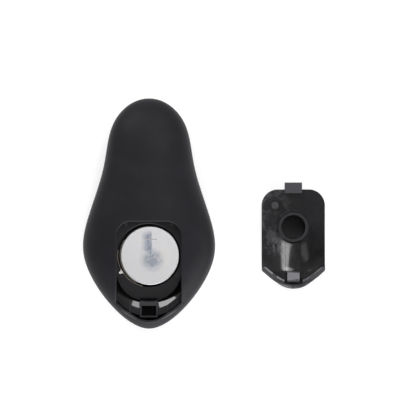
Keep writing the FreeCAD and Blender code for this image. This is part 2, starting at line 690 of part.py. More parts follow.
def battery_door_closed():
    outer = back_dome(0)
    inner = back_dome(DOOR_WALL)
    prism = opening_prism(DOOR_GAP, PARTING + 1, SKY, DOOR_CORNER)
    door = outer.cut(inner).common(prism)
    wall = opening_prism(DOOR_GAP, PARTING, SKY, DOOR_CORNER).Shells[0]
    door = door.makeFillet(DOOR_EDGE, rim_edges(door, outer.Shells[0], wall))
    low = CELL_TOP + TUBE_GAP
    tube = cylinder(TUBE_RADIUS, 0, TUBE_Y, low, SKY).common(back_dome(DOOR_WALL - 0.2))
    half = SPINE_WIDTH / 2
    spine = back_dome(DOOR_WALL - 0.2).cut(back_dome(DOOR_WALL + SPINE_HEIGHT)).common(
        block((-half, half), (SOCKET_HIGH, TUBE_Y - TUBE_RADIUS), (PARTING, SKY))
    )
    marks = [
        back_dome(DOOR_WALL - 0.2).cut(back_dome(DOOR_WALL + EJECTOR_HEIGHT)).common(
            cylinder(EJECTOR_RADIUS, EJECTOR_X, TUBE_Y + y, PARTING, SKY)
        )
        for y in (EJECTOR_PITCH / 2 + 1.2, 1.2 - EJECTOR_PITCH / 2)
    ]
    door = fuse(door, tube)
    foot = rim_edges(door, inner.Shells[0], tube_wall())
    door = door.makeFillet(TUBE_FOOT, foot)
    door = fuse(door, spine, door_tab(), door_lip(), door_latch(), *marks)
    bore = cylinder(TUBE_BORE, 0, TUBE_Y, low - 1, SKY).common(inner)
    return door.cut(bore)


def battery_door():
    """The door as it lies beside the body, inner side up."""
    door = battery_door_closed()
    door.rotate(vec(0, 0, 0), vec(0, 1, 0), 180)
    door.rotate(door.BoundBox.Center, vec(1, 0, 0), DOOR_LEAN)
    low = door.optimalBoundingBox(False, False).ZMin
    door.translate(vec(DOOR_PLACE_X, DOOR_PLACE_Y, -low))
    return door


# ---- coin cell ----

def cell_can():
    low = CELL_Z + CELL_STEP
    can = cylinder(CELL_RADIUS, CELL_SHIFT, 0, low, CELL_TOP)
    top = [e for e in can.Edges if abs(e.BoundBox.ZMin - CELL_TOP) < 0.01]
    bottom = [e for e in can.Edges if abs(e.BoundBox.ZMax - low) < 0.01]
    can = can.makeFillet(CELL_EDGE, top).makeFillet(CELL_SKIN, bottom)
    bore = CELL_RADIUS - CELL_SKIN
    can = can.cut(cylinder(bore, CELL_SHIFT, 0, low + CELL_SKIN, CELL_TOP - CELL_SKIN))
    return can.cut(cylinder(bore - CELL_SKIN, CELL_SHIFT, 0, low - 1, low + 1))


def cell_gasket():
    outer = CELL_RADIUS - CELL_SKIN
    low = CELL_Z + CELL_STEP
    mouth = outer - CELL_SKIN
    ring = cylinder(outer, CELL_SHIFT, 0, low + CELL_SKIN, CELL_TOP - 2 * CELL_SKIN)
    ring = fuse(ring, cylinder(mouth, CELL_SHIFT, 0, low, low + CELL_SKIN))
    return ring.cut(cylinder(CELL_CAP_RADIUS, CELL_SHIFT, 0, low - 1, CELL_TOP))


def cell_cap():
    cap = cylinder(CELL_CAP_RADIUS, CELL_SHIFT, 0, CELL_Z, CELL_TOP - 2 * CELL_SKIN)
    bottom = [e for e in cap.Edges if abs(e.BoundBox.ZMax - CELL_Z) < 0.01]
    return cap.makeFillet(CELL_SKIN, bottom)


# ---- contacts ----

def arc_strip(x, radius, start, end, low, high):
    """Upright strip of contact sheet, bent to an arc about a vertical axis."""
    ring = Part.makeCylinder(
        radius + CONTACT_SHEET, high - low, vec(0, 0, 0), Z_AXIS, end - start
    ).cut(Part.makeCylinder(radius, high - low, vec(0, 0, 0), Z_AXIS, end - start))
    ring.rotate(vec(0, 0, 0), Z_AXIS, start)
    ring.translate(vec(x, 0, low))
    return ring


def flag_shape(grow, low, high):
    """Plan area of the side contact's flag, in its notch in the pocket wall."""
    root = FLAG_WIDTH / 2 + grow
    tip = FLAG_TAPER * FLAG_WIDTH / 2 + grow
    start = POCKET_RADIUS - 0.3
    end = POCKET_RADIUS + FLAG_REACH + grow
    corners = [(start, -root), (end, -tip), (end, tip), (start, root), (start, -root)]
    outline = Part.makePolygon([vec(x, y, low) for x, y in corners])
    flag = Part.Face(outline).extrude(vec(0, 0, high - low))
    flag.rotate(vec(0, 0, 0), Z_AXIS, FLAG_ANGLE)
    return flag


def flag_notch():
    return flag_shape(0.15, CELL_TOP - 0.6, SKY).common(
        cylinder(2 * POCKET_RADIUS, 0, 0, 0, DECK_Z + 0.1)
    )


def positive_contact():
    low = POCKET_Z
    high = CELL_TOP - 0.1
    inner_radius = CELL_RADIUS + CONTACT_CLEARANCE
    outer_radius = POCKET_RADIUS - CONTACT_SHEET - 0.06
    inner = arc_strip(CELL_SHIFT, inner_radius, 149, 243, low, high)
    outer = arc_strip(0, outer_radius, 170, 258, low, high)
    bend = math.radians(243)
    fold = block(
        (inner_radius + CELL_SHIFT * math.cos(bend), outer_radius + 0.1),
        (-CONTACT_SHEET, 0),
        (low, high),
    )
    fold.rotate(vec(0, 0, 0), Z_AXIS, 244)
    flag = flag_shape(0, high - CONTACT_SHEET, high)
    return fuse(inner, outer, fold, flag)


def negative_contact():
    """Leaf spring on the tray's floor that carries the cell."""
    half = SPRING_WIDTH / 2
    t = CONTACT_SHEET
    top = CELL_Z - 0.05
    base = POCKET_Z
    reach = SPRING_REACH
    points = (
        (-reach, base),
        (reach, base),
        (reach, base + t),
        (reach - 2.6, base + t),
        (1.2, top),
        (-1.2, top),
        (-reach + 2.6, base + t),
        (-reach, base + t),
    )
    under = (
        (reach - 2.6, base),
        (1.0, top - t),
        (-1.0, top - t),
        (-reach + 2.6, base),
    )
    return extrude_profile(points, -half, half).cut(extrude_profile(under, -half - 1, half + 1))


# ---- board ----

def circuit_board():
    board = outline_prism(BOARD_INSET, BOARD_Z, BOARD_TOP)
    for x, y in BOARD_SCREWS:
        board = board.cut(cylinder(SCREW_RADIUS + 0.25, x, y, BOARD_Z - 1, BOARD_TOP + 1))
    return board


def board_screws():
    screws = []
    for x, y in BOARD_SCREWS:
        head = cylinder(SCREW_HEAD_RADIUS, x, y, BOARD_TOP, BOARD_TOP + SCREW_HEAD_HEIGHT)
        top = [e for e in head.Edges if e.BoundBox.ZMin > BOARD_TOP + 0.5 and len(e.Vertexes) == 1]
        head = head.makeFillet(0.35, top)
        shank = cylinder(SCREW_RADIUS, x, y, BOARD_TOP - SCREW_LENGTH, BOARD_TOP + 0.1)
        slots = [
            block((x - a, x + a), (y - b, y + b), (BOARD_TOP + 0.5, SKY))
            for a, b in ((0.9, 0.18), (0.18, 0.9))
        ]
        screws.append(fuse(head, shank).cut(slots[0].fuse(slots[1])))
    return Part.Compound(screws)


def switch_housing(y):
    half = SWITCH_SIDE / 2
    low = SWITCH_Z + 0.3
    body = block((-half, half), (y - half, y + half), (low, BOARD_Z))
    return body.cut(cylinder(PLUNGER_RADIUS + 0.1, 0, y, low, low + 1.2 + BUTTON_TRAVEL))


def switch_cover(y):
    half = SWITCH_SIDE / 2
    plate = block((-half, half), (y - half, y + half), (SWITCH_Z, SWITCH_Z + 0.3))
    return plate.cut(cylinder(PLUNGER_RADIUS + 0.1, 0, y, SWITCH_Z - 1, SWITCH_Z + 1))


def switch_plunger(y):
    plunger = cylinder(PLUNGER_RADIUS, 0, y, PLUNGER_Z, SWITCH_Z + 0.3 + 1.0)
    tip = [e for e in plunger.Edges if abs(e.BoundBox.ZMax - PLUNGER_Z) < 0.01]
    return plunger.makeFillet(0.2, tip)


def button_cap(y, radius):
    high = FLANGE_Z + FLANGE_HEIGHT
    cap = cylinder(radius, 0, y, BUTTON_SINK, high)
    rim = [e for e in cap.Edges if abs(e.BoundBox.ZMax - BUTTON_SINK) < 0.01]
    cap = cap.makeFillet(0.35, rim)
    cap = fuse(cap, cylinder(radius + FLANGE_WIDTH, 0, y, FLANGE_Z, high))
    hollow = cylinder(radius - CAP_WALL / 2, 0, y, BUTTON_SINK + CAP_WALL, SKY).cut(
        cylinder(STEM_RADIUS, 0, y, 0, SKY)
    )
    return fuse(cap.cut(hollow), cylinder(STEM_RADIUS, 0, y, high - 0.5, STEM_Z))


def fire_button():
    cap = button_cap(FIRE_Y, FIRE_RADIUS)
    rim = FIRE_RADIUS - 1.0
    ball = (rim ** 2 + CAP_HOLLOW ** 2) / (2 * CAP_HOLLOW)
    return cap.cut(Part.makeSphere(ball, vec(0, FIRE_Y, BUTTON_SINK + CAP_HOLLOW - ball)))


def power_button():
    return button_cap(POWER_Y, POWER_RADIUS)


def indicator_window():
    """Light pipe from the indicator to the front."""
    low = FRONT_WALL + FLANGE_GAP
    pipe = cylinder(INDICATOR_RADIUS, 0, INDICATOR_Y, BUTTON_SINK, low + 0.5)
    flange = cylinder(INDICATOR_RADIUS + PIPE_FLANGE, 0, INDICATOR_Y, low, low + 0.7)
    post = cylinder(INDICATOR_RADIUS - 0.3, 0, INDICATOR_Y, low, BOARD_Z - LED_HEIGHT - PIPE_GAP)
    return fuse(pipe, flange, post)


def indicator_led():
    half = LED_WIDTH / 2
    body = block((-half, half), (INDICATOR_Y - 0.65, INDICATOR_Y + 0.65), (BOARD_Z - 0.4, BOARD_Z))
    lens = block(
        (-0.65 * half, 0.65 * half),
        (INDICATOR_Y - 0.6, INDICATOR_Y + 0.6),
        (BOARD_Z - LED_HEIGHT, BOARD_Z),
    )
    return fuse(body, lens)


def chip(y, legs):
    """Packaged chip with legs along its two long sides."""
    z = BOARD_TOP + 0.15
    half = CHIP_WIDTH / 2
    length = chip_length(legs)
    pieces = [block((-half, half), (y - length / 2, y + length / 2), (z, z + CHIP_HEIGHT))]
    for i in range(legs):
        leg_y = y + (i - (legs - 1) / 2) * LEG_PITCH
        for side in (-1, 1):
            span = sorted((side * (half - 0.1), side * (half + 0.9)))
            pieces.append(block(span, (leg_y - 0.18, leg_y + 0.18), (BOARD_TOP, BOARD_TOP + 0.25)))
    return fuse(*pieces)


def chip_length(legs):
    return legs * LEG_PITCH


def board_block(x, y, width, length, height):
    """Block on the board, centred on (x, y)."""
    return block(
        (x - width / 2, x + width / 2), (y - length / 2, y + length / 2),
        (BOARD_TOP, BOARD_TOP + height),
    )


def smd_capacitors():
    side = CHIP_WIDTH / 2 + 0.9 + PART_GAP + CAPACITOR_WIDTH / 2
    beside = chip_length(CONTROLLER_LEGS) / 2
    places = [
        (-side - 1, CONTROLLER_Y + beside - 1), (-side - 1, CONTROLLER_Y + beside + 2),
        (side + 1, CONTROLLER_Y + beside), (side + 1, CONTROLLER_Y + beside + 3),
        (-side, RADIO_Y + chip_length(RADIO_LEGS) / 2),
    ]
    return Part.Compound([
        board_block(x, y, CAPACITOR_WIDTH, CAPACITOR_LENGTH, CAPACITOR_WIDTH) for x, y in places
    ])


def crystal_can():
    x = CHIP_WIDTH / 2 + 0.9 + PART_GAP / 2 + CRYSTAL_LENGTH / 2
    y = RADIO_Y + chip_length(RADIO_LEGS) / 2
    can = board_block(x, y, CRYSTAL_LENGTH, CRYSTAL_WIDTH, 0.8)
    top = [e for e in can.Edges if e.BoundBox.ZMin > BOARD_TOP + 0.7]
    return can.makeFillet(0.2, top)


def antenna_coil():
    """Helical antenna lying on the board, bent from straight runs."""
    turn = 8
    points = []
    for i in range(COIL_TURNS * turn + 1):
        angle = 2 * math.pi * i / turn
        points.append(vec(
            COIL_PITCH * (i / turn - COIL_TURNS / 2),
            COIL_Y + COIL_RADIUS * math.sin(angle),
            BOARD_TOP + COIL_RADIUS + COIL_WIRE + COIL_GAP - COIL_RADIUS * math.cos(angle),
        ))
    along = points[1] - points[0]
    across = along.cross(vec(0, 0, 1)).normalize()
    up = across.cross(along).normalize()
    corners = [
        points[0] + across * (COIL_WIRE * math.cos(a)) + up * (COIL_WIRE * math.sin(a))
        for a in (math.pi / 3 * k for k in range(7))
    ]
    section = Part.makePolygon(corners)
    return Part.Wire(Part.makePolygon(points)).makePipeShell([section], True, True, 1)


def build():
    """Every piece by name."""
    return {
        "back_shell": back_shell(),
        "front_shell": front_shell(),
        "battery_tray": battery_tray(),
        "battery_door": battery_door(),
        "cell_can": cell_can(),
        "cell_gasket": cell_gasket(),
        "cell_cap": cell_cap(),
        "positive_contact": positive_contact(),
        "negative_contact": negative_contact(),
        "circuit_board": circuit_board(),
        "board_screws": board_screws(),
        "fire_button": fire_button(),
        "power_button": power_button(),
        "fire_switch_housing": switch_housing(FIRE_Y),
        "fire_switch_cover": switch_cover(FIRE_Y),
        "fire_switch_plunger": switch_plunger(FIRE_Y),
        "power_switch_housing": switch_housing(POWER_Y),
        "power_switch_cover": switch_cover(POWER_Y),
        "power_switch_plunger": switch_plunger(POWER_Y),
        "indicator_window": indicator_window(),
        "indicator_led": indicator_led(),
        "radio_chip": chip(RADIO_Y, RADIO_LEGS),
        "controller_chip": chip(CONTROLLER_Y, CONTROLLER_LEGS),
        "crystal_can": crystal_can(),
        "smd_capacitors": smd_capacitors(),
        "antenna_coil": antenna_coil(),
    }


def main():
    os.makedirs(OUT, exist_ok=True)
    for name, shape in build().items():
        shape.exportStep(os.path.join(OUT, name + ".step"))
        box = shape.optimalBoundingBox(False, False)
        spans = [round(v, 2) for v in (box.XMin, box.XMax, box.YMin, box.YMax, box.ZMin, box.ZMax)]
        print(name, shape.isValid(), len(shape.Solids), round(shape.Volume, 2), spans)


main()
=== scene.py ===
"""Scene of a hand-held wireless flash trigger, back up, with its battery door taken off.

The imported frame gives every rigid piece. This script gives them their finishes, adds the
raised mark of the coin cell, and sets up the studio. The frame and the studio are in metres,
and the finishes are in millimetres.
"""

from __future__ import annotations

import json
import logging
import math
from dataclasses import dataclass, field
from enum import Enum
from typing import Any, Iterable, Mapping, Sequence, Union

import bpy
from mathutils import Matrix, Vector

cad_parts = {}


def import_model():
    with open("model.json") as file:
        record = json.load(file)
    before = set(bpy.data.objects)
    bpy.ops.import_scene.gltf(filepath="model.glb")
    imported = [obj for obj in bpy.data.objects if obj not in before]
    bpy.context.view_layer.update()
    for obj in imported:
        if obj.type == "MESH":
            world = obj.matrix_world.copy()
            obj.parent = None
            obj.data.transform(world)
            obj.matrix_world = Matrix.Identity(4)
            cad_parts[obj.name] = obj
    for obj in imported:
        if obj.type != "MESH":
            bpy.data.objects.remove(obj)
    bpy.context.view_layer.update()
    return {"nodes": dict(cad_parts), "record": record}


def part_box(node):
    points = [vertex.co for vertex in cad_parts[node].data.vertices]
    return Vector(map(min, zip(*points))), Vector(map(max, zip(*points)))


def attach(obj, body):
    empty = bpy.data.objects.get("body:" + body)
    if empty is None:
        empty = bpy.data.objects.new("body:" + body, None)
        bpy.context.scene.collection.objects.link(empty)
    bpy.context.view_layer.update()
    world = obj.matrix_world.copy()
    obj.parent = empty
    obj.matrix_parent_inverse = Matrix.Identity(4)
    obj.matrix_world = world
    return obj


LOG = logging.getLogger("flash_trigger")

# ---- units ----
MM = 0.001
TO_MM = 1000.0

# ---- widths of the soft edges of masks, in millimetres ----
HAIRLINE = 0.02
FINE_EDGE = 0.05
SOFT_EDGE = 0.1

# ---- tolerance for what lies on a line, in metres ----
ON_LINE = 1e-6

Colour = tuple[float, float, float]
# Where a soft edge of a mask starts and ends, or two places, or a point (x, y).
Span = tuple[float, float]
Number = Union[float, int, "Value"]


class Axis(Enum):
    """The three axes of an object's own coordinates."""

    X = 0
    Y = 1
    Z = 2


class Value:
    """A number socket that takes part in Python arithmetic."""

    def __init__(self, paint: "Paint", socket: bpy.types.NodeSocket) -> None:
        """Wraps a socket.

        Args:
            paint: The material that the socket belongs to.
            socket: An output socket that carries a number.
        """
        self.paint = paint
        self.socket = socket

    def _math(self, operation: str, *others: Number) -> "Value":
        """Adds a Math node.

        Args:
            operation: Name of the Math node's operation.
            others: The further inputs, in their order.

        Returns:
            The node's result.
        """
        inputs = dict(enumerate([self, *others]))
        return self.paint.add("ShaderNodeMath", {"operation": operation}, inputs).value()

    def __add__(self, other: Number) -> "Value":
        """Sum of two values."""
        return self._math("ADD", other)

    __radd__ = __add__

    def __mul__(self, other: Number) -> "Value":
        """Product of two values."""
        return self._math("MULTIPLY", other)

    __rmul__ = __mul__

    def __sub__(self, other: Number) -> "Value":
        """Difference of two values."""
        return self._math("SUBTRACT", other)

    def __rsub__(self, other: Number) -> "Value":
        """A plain number less this value."""
        return self * -1.0 + other

    def __abs__(self) -> "Value":
        """Size of a value without its sign."""
        return self._math("ABSOLUTE")

    def sine(self) -> "Value":
        """Sine of an angle in radians."""
        return self._math("SINE")

    def root(self) -> "Value":
        """Square root of a value."""
        return self._math("SQRT")

    def least(self, other: Number) -> "Value":
        """The smaller of two values."""
        return self._math("MINIMUM", other)

    def most(self, other: Number) -> "Value":
        """The larger of two values."""
        return self._math("MAXIMUM", other)

    def step(self, low: float, high: float) -> "Value":
        """Rises smoothly from 0 at low to 1 at high.

        Args:
            low: Value at which the rise starts.
            high: Value at which it ends; below low, the rise is a fall.

        Returns:
            A value between 0 and 1.
        """
        settings = {"interpolation_type": "SMOOTHSTEP"}
        rising = high > low
        ends = {"From Min": min(low, high), "From Max": max(low, high)}
        ends |= {"To Min": 0.0 if rising else 1.0, "To Max": 1.0 if rising else 0.0}
        return self.paint.add("ShaderNodeMapRange", settings, {"Value": self, **ends}).value()

    def between(self, low: float, high: float, blur: float) -> "Value":
        """Masks the stretch from low to high.

        Args:
            low: Where the stretch starts.
            high: Where it ends.
            blur: How far its soft ends reach past it.

        Returns:
            1 on the stretch and 0 past its soft ends.
        """
        return self.step(low - blur, low) * self.step(high + blur, high)

    def within(self, reach: float, blur: float) -> "Value":
        """Masks the stretch that reaches equally far to both sides of 0.

        Args:
            reach: How far it reaches.
            blur: How far its soft ends reach past it.

        Returns:
            1 on the stretch and 0 past its soft ends.
        """
        return abs(self).step(reach + blur, reach)

    def above(self, level: float, blur: float) -> "Value":
        """Masks all from a level up; the soft edge ends blur above it."""
        return self.step(level, level + blur)

    def below(self, level: float, blur: float) -> "Value":
        """Masks all up to a level; the soft edge ends blur above it."""
        return self.step(level + blur, level)


def shifted(span: Span, level: float) -> Span:
    """A span that is given from a level, as one from 0."""
    return (level + span[0], level + span[1])


def distance(x: Value, y: Value, centre: Span = (0.0, 0.0)) -> Value:
    """Distance of the shaded point from an upright axis.

    Args:
        x: Place of the point across.
        y: Place of the point along.
        centre: Where the axis stands.

    Returns:
        The distance, in the same unit.
    """
    across, along = x - centre[0], y - centre[1]
    return (across * across + along * along).root()


class Added:
    """A node just added, and its outputs."""

    def __init__(self, paint: "Paint", node: bpy.types.Node) -> None:
        """Keeps the node.

        Args:
            paint: The material that the node belongs to.
            node: The node.
        """
        self.paint = paint
        self.node = node

    def value(self, name: Union[str, int] = 0) -> Value:
        """An output that carries a number, by name or place."""
        return Value(self.paint, self.node.outputs[name])

    def out(self, name: Union[str, int] = 0) -> bpy.types.NodeSocket:
        """An output of any kind, by name or place."""
        return self.node.outputs[name]


class Paint:
    """A material under construction."""

    def __init__(self, name: str) -> None:
        """Starts a material with one Principled shader.

        Args:
            name: Name of the material.
        """
        self.material = bpy.data.materials.new(name)
        self.material.use_nodes = True
        self.tree = self.material.node_tree
        self.tree.nodes.clear()
        self.shader = self.add("ShaderNodeBsdfPrincipled", {}, {})
        self.output = self.add("ShaderNodeOutputMaterial", {}, {"Surface": self.shader.out()})
        self.place = self.add("ShaderNodeTexCoord", {}, {})

    def add(
        self, kind: str, settings: Mapping[str, Any], inputs: Mapping[Union[str, int], Any]
    ) -> Added:
        """Adds a node of any type.

        Args:
            kind: The node's type.
            settings: Properties of the node, set first.
            inputs: Values or links of its sockets, by name or place.

        Returns:
            The new node.
        """
        node = self.tree.nodes.new(kind)
        for name, setting in settings.items():
            setattr(node, name, setting)
        for name, given in inputs.items():
            self._feed(node.inputs[name], given)
        return Added(self, node)

    def _feed(self, socket: bpy.types.NodeSocket, given: Any) -> None:
        """Links a socket or sets its value.

        Args:
            socket: An input of a node.
            given: A value, a colour, or an output to link.
        """
        if isinstance(given, Value):
            self.tree.links.new(given.socket, socket)
        elif isinstance(given, bpy.types.NodeSocket):
            self.tree.links.new(given, socket)
        elif isinstance(given, tuple) and len(given) == 3 and socket.type == "RGBA":
            socket.default_value = (*given, 1.0)
        else:
            socket.default_value = given

    def set(self, **inputs: Any) -> None:
        """Feeds the shader's sockets; an underscore in a name stands for a space."""
        for name, given in inputs.items():
            self._feed(self.shader.node.inputs[name.replace("_", " ")], given)

    def along(self, axis: Axis) -> Value:
        """Place of the shaded point along one axis, in millimetres."""
        parts = self.add("ShaderNodeSeparateXYZ", {}, {"Vector": self.place.out("Object")})
        return parts.value(axis.value) * TO_MM

    def facing(self, axis: Axis) -> Value:
        """Share of the surface's own normal along one axis."""
        parts = self.add("ShaderNodeSeparateXYZ", {}, {"Vector": self.place.out("Normal")})
        return parts.value(axis.value)

    def scaled(self, stretch: Sequence[float]) -> bpy.types.NodeSocket:
        """Object coordinates in millimetres, stretched along each axis."""
        factors = tuple(TO_MM * s for s in stretch)
        settings = {"operation": "MULTIPLY"}
        inputs = {0: self.place.out("Object"), 1: factors}
        return self.add("ShaderNodeVectorMath", settings, inputs).out()

    def noise(
        self,
        size: float,
        detail: float = 3.0,
        roughness: float = 0.5,
        stretch: Sequence[float] = (1.0, 1.0, 1.0),
        distortion: float = 0.0,
    ) -> Value:
        """Soft noise over the surface.

        Args:
            size: Size of its features, in millimetres.
            detail: Number of finer layers.
            roughness: Weight of the finer layers.
            stretch: Frequency along each axis, relative to the others.
            distortion: How much the pattern is bent.

        Returns:
            A value near 0.5.
        """
        inputs = {
            "Vector": self.scaled(stretch),
            "Scale": 1.0 / size,
            "Detail": detail,
            "Roughness": roughness,
            "Distortion": distortion,
        }
        return self.add("ShaderNodeTexNoise", {}, inputs).value("Fac")

    def cells(self, size: float) -> Value:
        """Distance to the nearest of many scattered points, in sizes of about 1."""
        inputs = {"Vector": self.scaled((1.0, 1.0, 1.0)), "Scale": 1.0 / size}
        return self.add("ShaderNodeTexVoronoi", {}, inputs).value("Distance")

    def blend(self, share: Number, first: Any, second: Any) -> bpy.types.NodeSocket:
        """Mixes two colours.

        Args:
            share: How much of the second colour there is.
            first: A colour or a colour socket.
            second: A colour or a colour socket.

        Returns:
            The mixed colour's socket.
        """
        settings = {"data_type": "RGBA"}
        mixed = self.add("ShaderNodeMix", settings, {0: share, 6: first, 7: second})
        return mixed.out(2)

    def layered(self, base: Any, *layers: tuple[Number, Any]) -> bpy.types.NodeSocket:
        """Lays colours over a base, each where its mask is 1.

        Args:
            base: A colour or a colour socket.
            layers: Pairs of a mask and the colour that it lets through.

        Returns:
            The socket of the finished colour.
        """
        for mask, colour in layers:
            base = self.blend(mask, base, colour)
        return base

    def bump(self, height: Value, depth: float) -> None:
        """Feeds the shader a bumped normal.

        Args:
            height: Height over the surface, between 0 and 1.
            depth: What a height of 1 stands for, in millimetres.
        """
        inputs = {"Height": height, "Distance": depth * MM, "Strength": 1.0}
        self.set(Normal=self.add("ShaderNodeBump", {}, inputs).out())


@dataclass(frozen=True)
class ShellPlastic:
    """Fine matte spark-eroded plastic of the housing and the buttons."""

    name: str = "shell_plastic"
    colour: Colour = (0.0108, 0.0104, 0.0132)
    worn: Colour = (0.0146, 0.0142, 0.0174)
    worn_share: float = 0.8
    edge: Colour = (0.011, 0.011, 0.013)
    # painted light: colour of the opening's edge near the nose tip
    tip_edge_painted_light: Colour = (0.048, 0.048, 0.053)
    tip_start: float = -18.0
    tip_fade: float = 2.0
    roughness: float = 0.50
    specular: float = 0.155
    patch_size: float = 9.0
    grain: float = 0.16
    depth: float = 0.010
    opening: tuple[float, float, float] = (0.0, 0.0, 0.0)

    def paint(self) -> bpy.types.Material:
        """Builds the material.

        Returns:
            The finished material.
        """
        paint = Paint(self.name)
        patches = paint.noise(self.patch_size, detail=4.0)
        grain = paint.cells(self.grain)
        fine = paint.noise(self.grain * 0.6, detail=2.0)
        handled = patches.step(0.42, 0.72)
        colour = paint.blend(handled * self.worn_share, self.colour, self.worn)
        if any(self.opening):
            colour = self._rimmed(paint, colour)
        paint.set(
            Base_Color=colour,
            Roughness=patches * 0.10 + (self.roughness - 0.05) + (grain * 0.04),
            Specular_IOR_Level=self.specular,
        )
        paint.bump(grain * 0.6 + fine * 0.4, self.depth)
        return paint.material

    def _rimmed(self, paint: Paint, colour: bpy.types.NodeSocket) -> bpy.types.NodeSocket:
        """Gives the cut edge round the battery opening its own colour, painted much lighter
        towards the nose tip: painted light.

        Args:
            paint: The material under construction.
            colour: Colour of the rest.

        Returns:
            The socket of the colour with the edge.
        """
        half, top, low = self.opening
        x, y, height = (paint.along(axis) for axis in Axis)
        rim = x.within(half, FINE_EDGE) * y.below(top, FINE_EDGE)
        rim = rim * height.above(low, SOFT_EDGE) * paint.facing(Axis.Z).step(0.97, 0.85)
        # painted light: the edge turns lighter towards the nose tip
        tip = y.step(self.tip_start, self.tip_start - self.tip_fade)
        return paint.blend(rim, colour, paint.blend(tip, self.edge, self.tip_edge_painted_light))


@dataclass(frozen=True)
class TrayPlastic:
    """Black plastic of the battery tray: polished in the trough, satin elsewhere."""

    name: str = "tray_plastic"
    colour: Colour = (0.0045, 0.0045, 0.0054)
    # painted light: up-facing faces of the deck and ledge are lighter than the walls and trough
    deck_painted_light: Colour = (0.0230, 0.0230, 0.0250)
    # painted light: tops of the stops and of the plate round the socket
    top_painted_light: Colour = (0.036, 0.036, 0.040)
    polish: float = 0.07
    satin: float = 0.42
    apron_centre: float = -4.65
    apron_radius: float = 11.2
    apron_start: Span = (-6.5, -7.5)
    stop_height: float = 15.6
    plate_height: float = 12.1
    ledge_height: float = 11.88
    socket: tuple[float, float, float] = (2.55, -20.7, -17.2)
    # painted shade: metallic over the dark base darkens the inside of the latch socket
    socket_painted_shade: float = 0.6
    flow_size: float = 3.5
    grain: float = 0.12
    depth: float = 0.03

    def paint(self) -> bpy.types.Material:
        """Builds the material.

        Returns:
            The finished material.
        """
        paint = Paint(self.name)
        x, y, height = (paint.along(axis) for axis in Axis)
        up = paint.facing(Axis.Z)
        past_apron = distance(x, y, (0.0, self.apron_centre)).step(
            self.apron_radius - SOFT_EDGE, self.apron_radius + SOFT_EDGE
        )
        tail = past_apron * y.step(*self.apron_start)
        trough = tail * height.below(self.ledge_height - SOFT_EDGE, SOFT_EDGE)
        ledge = tail * height.above(self.ledge_height - SOFT_EDGE, SOFT_EDGE)
        socket = self._in_socket(x, y, height)
        # painted light on the tops of the plate and the stops
        plate = ledge * height.above(self.plate_height - SOFT_EDGE, SOFT_EDGE) * (1.0 - socket)
        stops = height.above(self.stop_height, SOFT_EDGE) * up.step(0.8, 0.9)
        # painted light on the up-facing faces of the deck and ledge
        deck = y.step(*reversed(self.apron_start)).most(ledge) * up.step(0.8, 0.95)
        glossy = trough * up.step(0.6, 0.75) * (1.0 - socket)
        flow = paint.noise(self.flow_size, detail=2.0, distortion=0.6)
        grain = paint.noise(self.grain, detail=2.0)
        paint.set(
            Base_Color=paint.layered(
                self.colour, (deck, self.deck_painted_light), (stops.most(plate), self.top_painted_light)
            ),
            # painted shade inside the latch socket
            Metallic=socket * self.socket_painted_shade,
            Roughness=flow * 0.08 + self.satin,
            Specular_IOR_Level=0.12,
            Coat_Weight=glossy,
            Coat_Roughness=self.polish,
        )
        paint.bump(grain * (1.0 - glossy) * 0.4 + flow * 0.6, self.depth)
        return paint.material

    def _in_socket(self, x: Value, y: Value, height: Value) -> Value:
        """Masks the inside of the latch socket.

        Args:
            x: Place across the tray.
            y: Place along the tray.
            height: Height of the point.

        Returns:
            1 in the socket and 0 elsewhere.
        """
        half, near, far = self.socket
        socket = x.within(half, HAIRLINE) * y.between(near, far, HAIRLINE)
        return socket * height.below(self.ledge_height, SOFT_EDGE)


@dataclass(frozen=True)
class DoorSpot:
    """Where a point of the door lies, in the door's own directions and millimetres."""

    x: Value
    y: Value
    height: Value
    up: Value
    from_tube: Value


@dataclass(frozen=True)
class DoorAreas:
    """Masks of the door's areas that have a colour of their own: the outer skin, and areas
    painted lighter or darker as painted light and shade.
    """

    outside: Value
    bore: Value
    ring: Value
    tab: Value
    latch: Value
    lip: Value

    def all(self) -> Value:
        """Masks every one of these areas, so it leaves only the wavy inner face."""
        most = self.tab.most(self.latch).most(self.lip)
        return most.most(self.outside).most(self.ring).most(self.bore)


